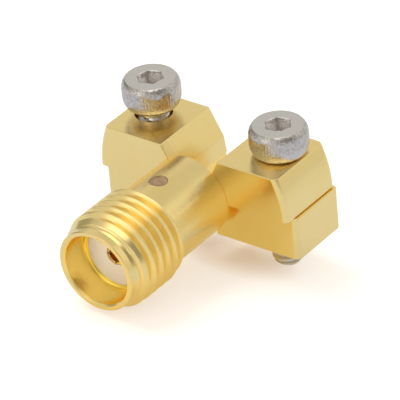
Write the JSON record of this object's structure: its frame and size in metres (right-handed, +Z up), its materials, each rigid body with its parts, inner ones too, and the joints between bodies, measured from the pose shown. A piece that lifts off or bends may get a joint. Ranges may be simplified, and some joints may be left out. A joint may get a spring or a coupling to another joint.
{
  "type": "end launch coaxial connector",
  "caption": "Threaded coaxial socket that clamps over a circuit board's edge between upper wings and screw-drawn jaws.",
  "frame": {"origin": "on the barrel axis, in the plane where the board's edge stops", "axes": "-Y out of the threaded mouth, +Y over the board, +Z up towards the screw heads"},
  "size_m": [0.0146, 0.015, 0.0104],
  "materials": {
    "shell_gold": "gold plated, smooth",
    "insulator": "smooth, slightly translucent",
    "contact_gold": "gold plated, polished",
    "plug_resin": "cured resin, finely mottled",
    "jaw_gold": "gold plated, smooth",
    "screw_steel": "stainless, polished by tumbling"
  },
  "bodies": {
    "shell": {"connector_body": "shell_gold", "dielectric": "insulator", "centre_contact": "contact_gold", "captivation_plug": "plug_resin"},
    "right_screw": {"screw_right": "screw_steel"},
    "left_screw": {"screw_left": "screw_steel"},
    "right_jaw": {"jaw_right": "jaw_gold"},
    "left_jaw": {"jaw_left": "jaw_gold"}
  },
  "joints": [
    {"name": "right_screw_turn", "type": "hinge", "parent": "shell", "child": "right_screw", "pos_m": [0.0048, 0.0029, 0.00293], "axis": [0, 0, 1], "range_deg": [0, 1620]},
    {"name": "left_screw_turn", "type": "hinge", "parent": "shell", "child": "left_screw", "pos_m": [-0.0048, 0.0029, 0.00293], "axis": [0, 0, 1], "range_deg": [0, 1620]},
    {"name": "right_jaw_slide", "type": "slide", "parent": "shell", "child": "right_jaw", "axis": [0, 0, -1], "range_m": [0, 0.0018]},
    {"name": "left_jaw_slide", "type": "slide", "parent": "shell", "child": "left_jaw", "axis": [0, 0, -1], "range_m": [0, 0.0018]}
  ],
  "couplings": [
    {"joint": "right_screw_turn", "follows": "right_jaw_slide", "rad_per_m": 15708},
    {"joint": "left_screw_turn", "follows": "left_jaw_slide", "rad_per_m": 15708}
  ]
}
